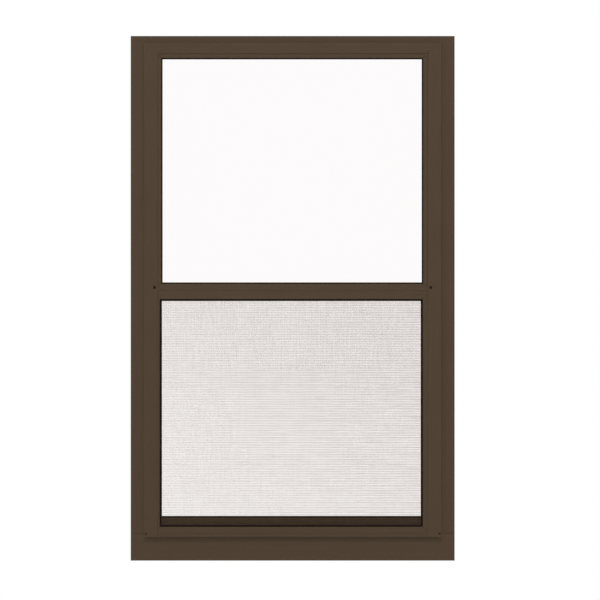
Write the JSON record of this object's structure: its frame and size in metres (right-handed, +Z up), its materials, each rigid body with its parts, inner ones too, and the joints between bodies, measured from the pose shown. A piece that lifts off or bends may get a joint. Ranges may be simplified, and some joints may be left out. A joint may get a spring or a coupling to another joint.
{
  "type": "aluminium storm window",
  "caption": "Two-track aluminium storm window: flanged frame, fixed upper glass sash, half insect screen, lower glass sash behind the screen and a sill expander.",
  "frame": {"origin": "on the back face of the head flange, at mid-width and mid-height of that flange", "axes": "+X to the right seen from outdoors, +Y towards the house, +Z up"},
  "size_m": [0.6096, 0.0283, 0.9874],
  "materials": {
    "frame_enamel": "satin",
    "sash_enamel": "satin",
    "screen_enamel": "satin",
    "glass": "gloss",
    "glazing_vinyl": "matte",
    "spline_rubber": "matte",
    "screen_cloth": "matte",
    "pile": "matte",
    "latch_plastic": "matte"
  },
  "bodies": {
    "root": {"head_frame": "frame_enamel", "left_jamb": "frame_enamel", "right_jamb": "frame_enamel", "sill_frame": "frame_enamel", "sill_expander": "frame_enamel", "upper_sash_top_rail": "sash_enamel", "upper_sash_bottom_rail": "sash_enamel", "upper_sash_left_stile": "sash_enamel", "upper_sash_right_stile": "sash_enamel", "upper_glass": "glass", "upper_glazing_seal": "glazing_vinyl", "upper_sash_left_stop": "latch_plastic", "upper_sash_right_stop": "latch_plastic", "screen_top_rail": "screen_enamel", "screen_bottom_rail": "screen_enamel", "screen_left_stile": "screen_enamel", "screen_right_stile": "screen_enamel", "screen_mesh": "screen_cloth", "screen_spline": "spline_rubber", "lower_sash_top_rail": "sash_enamel", "lower_sash_bottom_rail": "sash_enamel", "lower_sash_left_stile": "sash_enamel", "lower_sash_right_stile": "sash_enamel", "lower_glass": "glass", "lower_glazing_seal": "glazing_vinyl", "lower_sash_left_latch": "latch_plastic", "lower_sash_right_latch": "latch_plastic", "meeting_rail_pile": "pile"}
  },
  "joints": []
}
